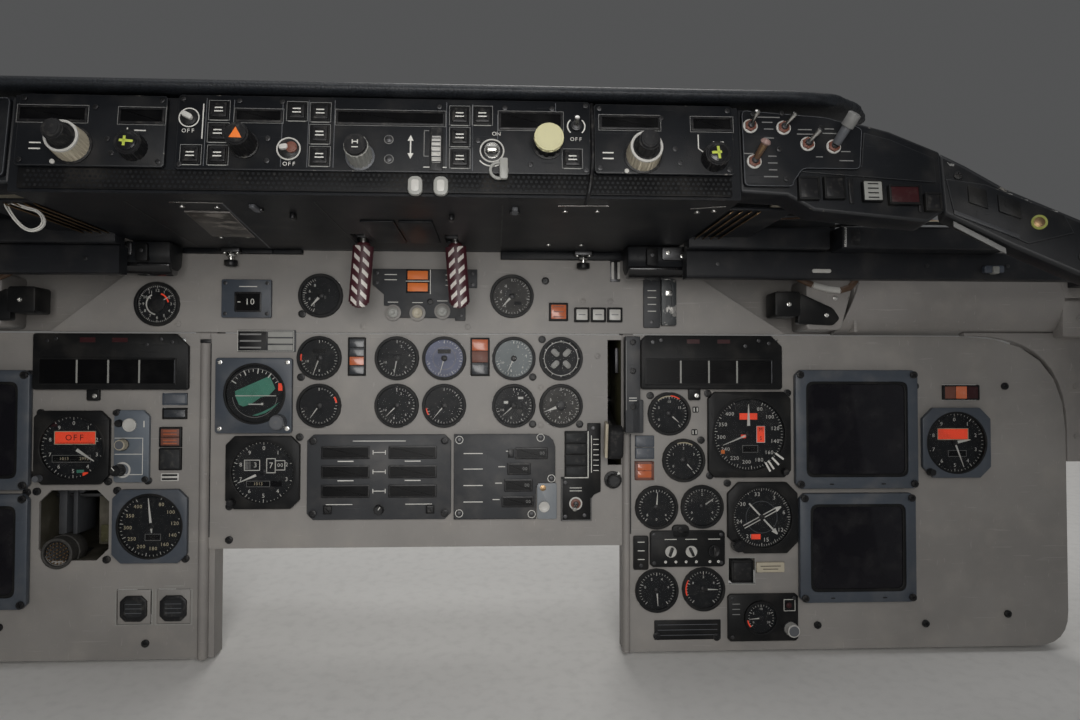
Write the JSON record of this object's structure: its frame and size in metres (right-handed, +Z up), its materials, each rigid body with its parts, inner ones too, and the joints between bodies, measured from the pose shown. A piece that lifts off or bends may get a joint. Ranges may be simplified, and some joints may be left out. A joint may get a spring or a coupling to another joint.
{
  "type": "airliner flight deck instrument panel with glareshield",
  "caption": "Flight deck main instrument panel with glareshield, flight guidance controls, gauges, displays, gear lever and pull-out fire handles.",
  "frame": {"origin": "centre of the rear face of the middle mounting pad on the upper rail", "axes": "+X to starboard, +Y forward (away from the pilots), +Z up; the boards lean 10 degrees, their top forward"},
  "size_m": [1.6, 0.56, 0.6065],
  "materials": {
    "board_grey": "satin paint, worn and dusty",
    "ledge_grey": "matt paint, scuffed",
    "bezel_blue": "satin blue-grey paint",
    "bezel_black": "matt black",
    "plate_grey": "satin dark grey",
    "case_metal": "plain sheet, dull",
    "shield_black": "matt black paint, worn at the edges",
    "pad_black": "grained black covering",
    "handle_red": "dark red with white diagonal stripes"
  },
  "bodies": {
    "panel": {"captain_board": "board_grey", "first_officer_board": "board_grey", "center_board": "board_grey", "upper_board": "board_grey", "captain_post": "ledge_grey", "first_officer_post": "ledge_grey", "captain_side_ledge": "ledge_grey", "first_officer_side_ledge": "ledge_grey", "captain_primary_display": "bezel_blue", "captain_navigation_display": "bezel_blue", "first_officer_primary_display": "bezel_blue", "first_officer_navigation_display": "bezel_blue", "captain_airspeed_indicator": "bezel_blue", "captain_selector_panel": "bezel_blue", "standby_horizon": "bezel_blue", "air_temperature_indicator": "bezel_blue", "captain_status_lights": "bezel_blue", "captain_mode_annunciator": "bezel_black", "first_officer_mode_annunciator": "bezel_black", "captain_altimeter": "bezel_black", "captain_outboard_altimeter": "bezel_black", "first_officer_outboard_altimeter": "bezel_black", "first_officer_airspeed_indicator": "bezel_black", "radio_magnetic_indicator": "bezel_black", "hydraulic_control_panel": "bezel_black", "oxygen_panel": "bezel_black", "standby_altimeter": "bezel_black", "brake_and_warning_panel": "bezel_black", "engine_gauge_rack": "bezel_black", "system_gauge_rack": "bezel_black", "upper_gauge_rack": "bezel_black", "captain_push_buttons": "bezel_black", "first_officer_push_button": "bezel_black", "upper_push_lights": "bezel_black", "first_officer_warning_light": "bezel_black", "gear_warning_box": "bezel_black", "lever_dim_knob": "bezel_black", "engine_data_panel": "plate_grey", "fuel_quantity_panel": "plate_grey", "instrument_source_selector": "plate_grey", "fire_control_panel": "plate_grey", "first_officer_status_lights": "plate_grey", "empty_instrument_tray": "case_metal", "upper_rail": "case_metal", "glareshield_housing": "shield_black", "captain_navigation_selector": "shield_black", "flight_guidance_panel": "shield_black", "first_officer_navigation_selector": "shield_black", "captain_warning_wing": "shield_black", "first_officer_warning_wing": "shield_black", "captain_light_switch_panel": "shield_black", "first_officer_light_switch_panel": "shield_black", "captain_support_beam": "shield_black", "first_officer_support_beam": "shield_black", "captain_flood_lamp": "shield_black", "first_officer_flood_lamp": "shield_black", "glareshield_pad": "pad_black"},
    "gear_lever": {"gear_lever": "bezel_black"},
    "left_fire_handle": {"left_fire_handle": "handle_red"},
    "right_fire_handle": {"right_fire_handle": "handle_red"}
  },
  "joints": [
    {"name": "gear_lever_hinge", "type": "hinge", "parent": "panel", "child": "gear_lever", "pos_m": [0.227, 0.03239, -0.22403], "axis": [-1, 0, 0], "range_deg": [0, 26]},
    {"name": "left_fire_handle_pull", "type": "slide", "parent": "panel", "child": "left_fire_handle", "axis": [0, -0.9848, 0.1736], "range_m": [0, 0.045]},
    {"name": "right_fire_handle_pull", "type": "slide", "parent": "panel", "child": "right_fire_handle", "axis": [0, -0.9848, 0.1736], "range_m": [0, 0.045]}
  ]
}
